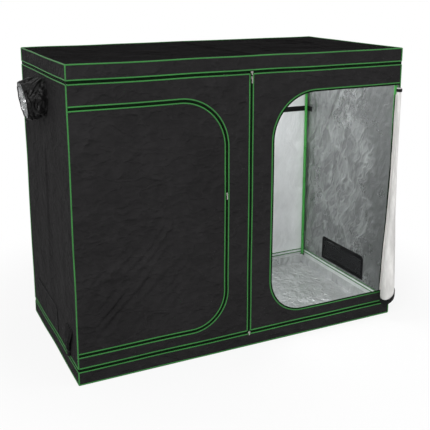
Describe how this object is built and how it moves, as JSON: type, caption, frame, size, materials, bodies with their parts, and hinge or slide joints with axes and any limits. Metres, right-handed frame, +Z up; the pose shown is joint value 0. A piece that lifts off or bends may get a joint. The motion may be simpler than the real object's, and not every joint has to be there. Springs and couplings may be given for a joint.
{
  "type": "indoor grow tent",
  "caption": "Indoor grow tent: green tube frame in corner sockets under black cloth with green piping, zipped front panels, rolled-up door, duct sleeve and vent flaps.",
  "frame": {"origin": "underside of the ground sheet, at the middle of the tent's footprint", "axes": "+X along the width to the right as seen from the front, -Y out of the front with the doors, +Z up"},
  "size_m": [2.5435, 1.3084, 1.9994],
  "materials": {
    "black_cloth": "matte coated cloth, green piping in the seams",
    "roof_cloth": "matte coated cloth, green piping in the seams",
    "silver_lining": "reflective silver film",
    "white_lining": "pale reflective film",
    "black_webbing": "woven webbing",
    "black_mesh": "fine mesh",
    "green_tube": "gloss paint",
    "white_tube": "gloss paint",
    "black_plastic": "moulded",
    "zinc": "worn metal",
    "cord": "braided cord"
  },
  "bodies": {
    "tent": {"corner_post_front_left": "green_tube", "corner_post_front_right": "green_tube", "corner_post_back_left": "green_tube", "corner_post_back_right": "green_tube", "centre_post_front": "green_tube", "centre_post_back": "green_tube", "base_rail_left": "green_tube", "base_rail_right": "green_tube", "base_rail_front_left": "green_tube", "base_rail_front_right": "green_tube", "base_rail_back_left": "green_tube", "base_rail_back_right": "green_tube", "top_rail_left": "green_tube", "top_rail_right": "green_tube", "top_rail_front_left": "green_tube", "top_rail_front_right": "green_tube", "top_rail_back_left": "green_tube", "top_rail_back_right": "green_tube", "ceiling_beam": "green_tube", "base_corner_joint_front_left": "black_plastic", "base_corner_joint_front_right": "black_plastic", "base_corner_joint_back_left": "black_plastic", "base_corner_joint_back_right": "black_plastic", "top_corner_joint_front_left": "black_plastic", "top_corner_joint_front_right": "black_plastic", "top_corner_joint_back_left": "black_plastic", "top_corner_joint_back_right": "black_plastic", "base_tee_front": "black_plastic", "base_tee_back": "black_plastic", "top_tee_front": "black_plastic", "top_tee_back": "black_plastic", "back_wall_band": "black_webbing", "roof_cap": "roof_cloth", "base_skirt": "black_cloth", "floor_tray": "silver_lining", "wall_back": "black_cloth", "wall_left": "black_cloth", "wall_right": "black_cloth", "duct_sleeve": "black_cloth", "duct_drawcord": "cord", "cable_port": "black_cloth", "vent_mesh_left": "black_mesh", "vent_mesh_right": "black_mesh"},
    "leaf_left": {"front_panel_left": "black_cloth"},
    "left_door": {"door_left": "black_cloth"},
    "leaf_right": {"front_panel_right": "black_cloth", "door_right_rolled": "white_lining", "roll_tie_top": "black_webbing", "roll_strap_bottom": "black_webbing"},
    "left_vent_flap": {"vent_flap_left": "black_cloth"},
    "right_vent_flap": {"vent_flap_right": "black_cloth"},
    "left_door_slider": {"door_slider": "zinc"},
    "left_door_pull": {"door_slider_pull": "zinc"},
    "centre_zip_slider": {"centre_slider": "zinc"},
    "centre_zip_pull": {"centre_slider_pull": "zinc"},
    "roof_slider": {"roof_zip_slider": "zinc"},
    "base_slider": {"base_zip_slider": "zinc"},
    "left_bar": {"hanging_bar_left": "white_tube", "hanging_strap": "black_webbing"},
    "right_bar": {"hanging_bar_right": "white_tube"}
  },
  "joints": [
    {"name": "leaf_left_hinge", "type": "hinge", "parent": "tent", "child": "leaf_left", "pos_m": [-1.19, -0.6005, 1], "axis": [0, 0, -1], "range_deg": [0, 90]},
    {"name": "door_left_hinge", "type": "hinge", "parent": "leaf_left", "child": "left_door", "pos_m": [-1.19, -0.6005, 1], "axis": [0, 0, -1], "range_deg": [0, 90]},
    {"name": "leaf_right_hinge", "type": "hinge", "parent": "tent", "child": "leaf_right", "pos_m": [1.19, -0.6005, 1], "axis": [0, 0, 1], "range_deg": [0, 90]},
    {"name": "vent_flap_left_hinge", "type": "hinge", "parent": "tent", "child": "left_vent_flap", "pos_m": [-1.1983, 0.18, 0.14], "axis": [0, -1, 0], "range_deg": [0, 120]},
    {"name": "vent_flap_right_hinge", "type": "hinge", "parent": "tent", "child": "right_vent_flap", "pos_m": [1.1983, 0.01, 0.14], "axis": [0, 1, 0], "range_deg": [0, 120]},
    {"name": "door_slider_slide", "type": "slide", "parent": "left_door", "child": "left_door_slider", "axis": [0, 0, 1], "range_m": [-0.65, 0.3]},
    {"name": "door_pull_swing", "type": "hinge", "parent": "left_door_slider", "child": "left_door_pull", "pos_m": [-0.174, -0.6052, 1.113], "axis": [-1, 0, 0], "range_deg": [0, 160]},
    {"name": "centre_slider_slide", "type": "slide", "parent": "leaf_left", "child": "centre_zip_slider", "axis": [0, 0, -1], "range_m": [0, 1.7]},
    {"name": "centre_pull_swing", "type": "hinge", "parent": "centre_zip_slider", "child": "centre_zip_pull", "pos_m": [0, -0.6052, 1.858], "axis": [-1, 0, 0], "range_deg": [0, 160]},
    {"name": "roof_slider_slide", "type": "slide", "parent": "tent", "child": "roof_slider", "axis": [1, 0, 0], "range_m": [-1.15, 1.15]},
    {"name": "base_slider_slide", "type": "slide", "parent": "tent", "child": "base_slider", "axis": [1, 0, 0], "range_m": [-1.15, 1.15]},
    {"name": "left_bar_slide", "type": "slide", "parent": "tent", "child": "left_bar", "axis": [1, 0, 0], "range_m": [-0.48, 0.48]},
    {"name": "right_bar_slide", "type": "slide", "parent": "tent", "child": "right_bar", "axis": [1, 0, 0], "range_m": [-0.48, 0.48]}
  ]
}
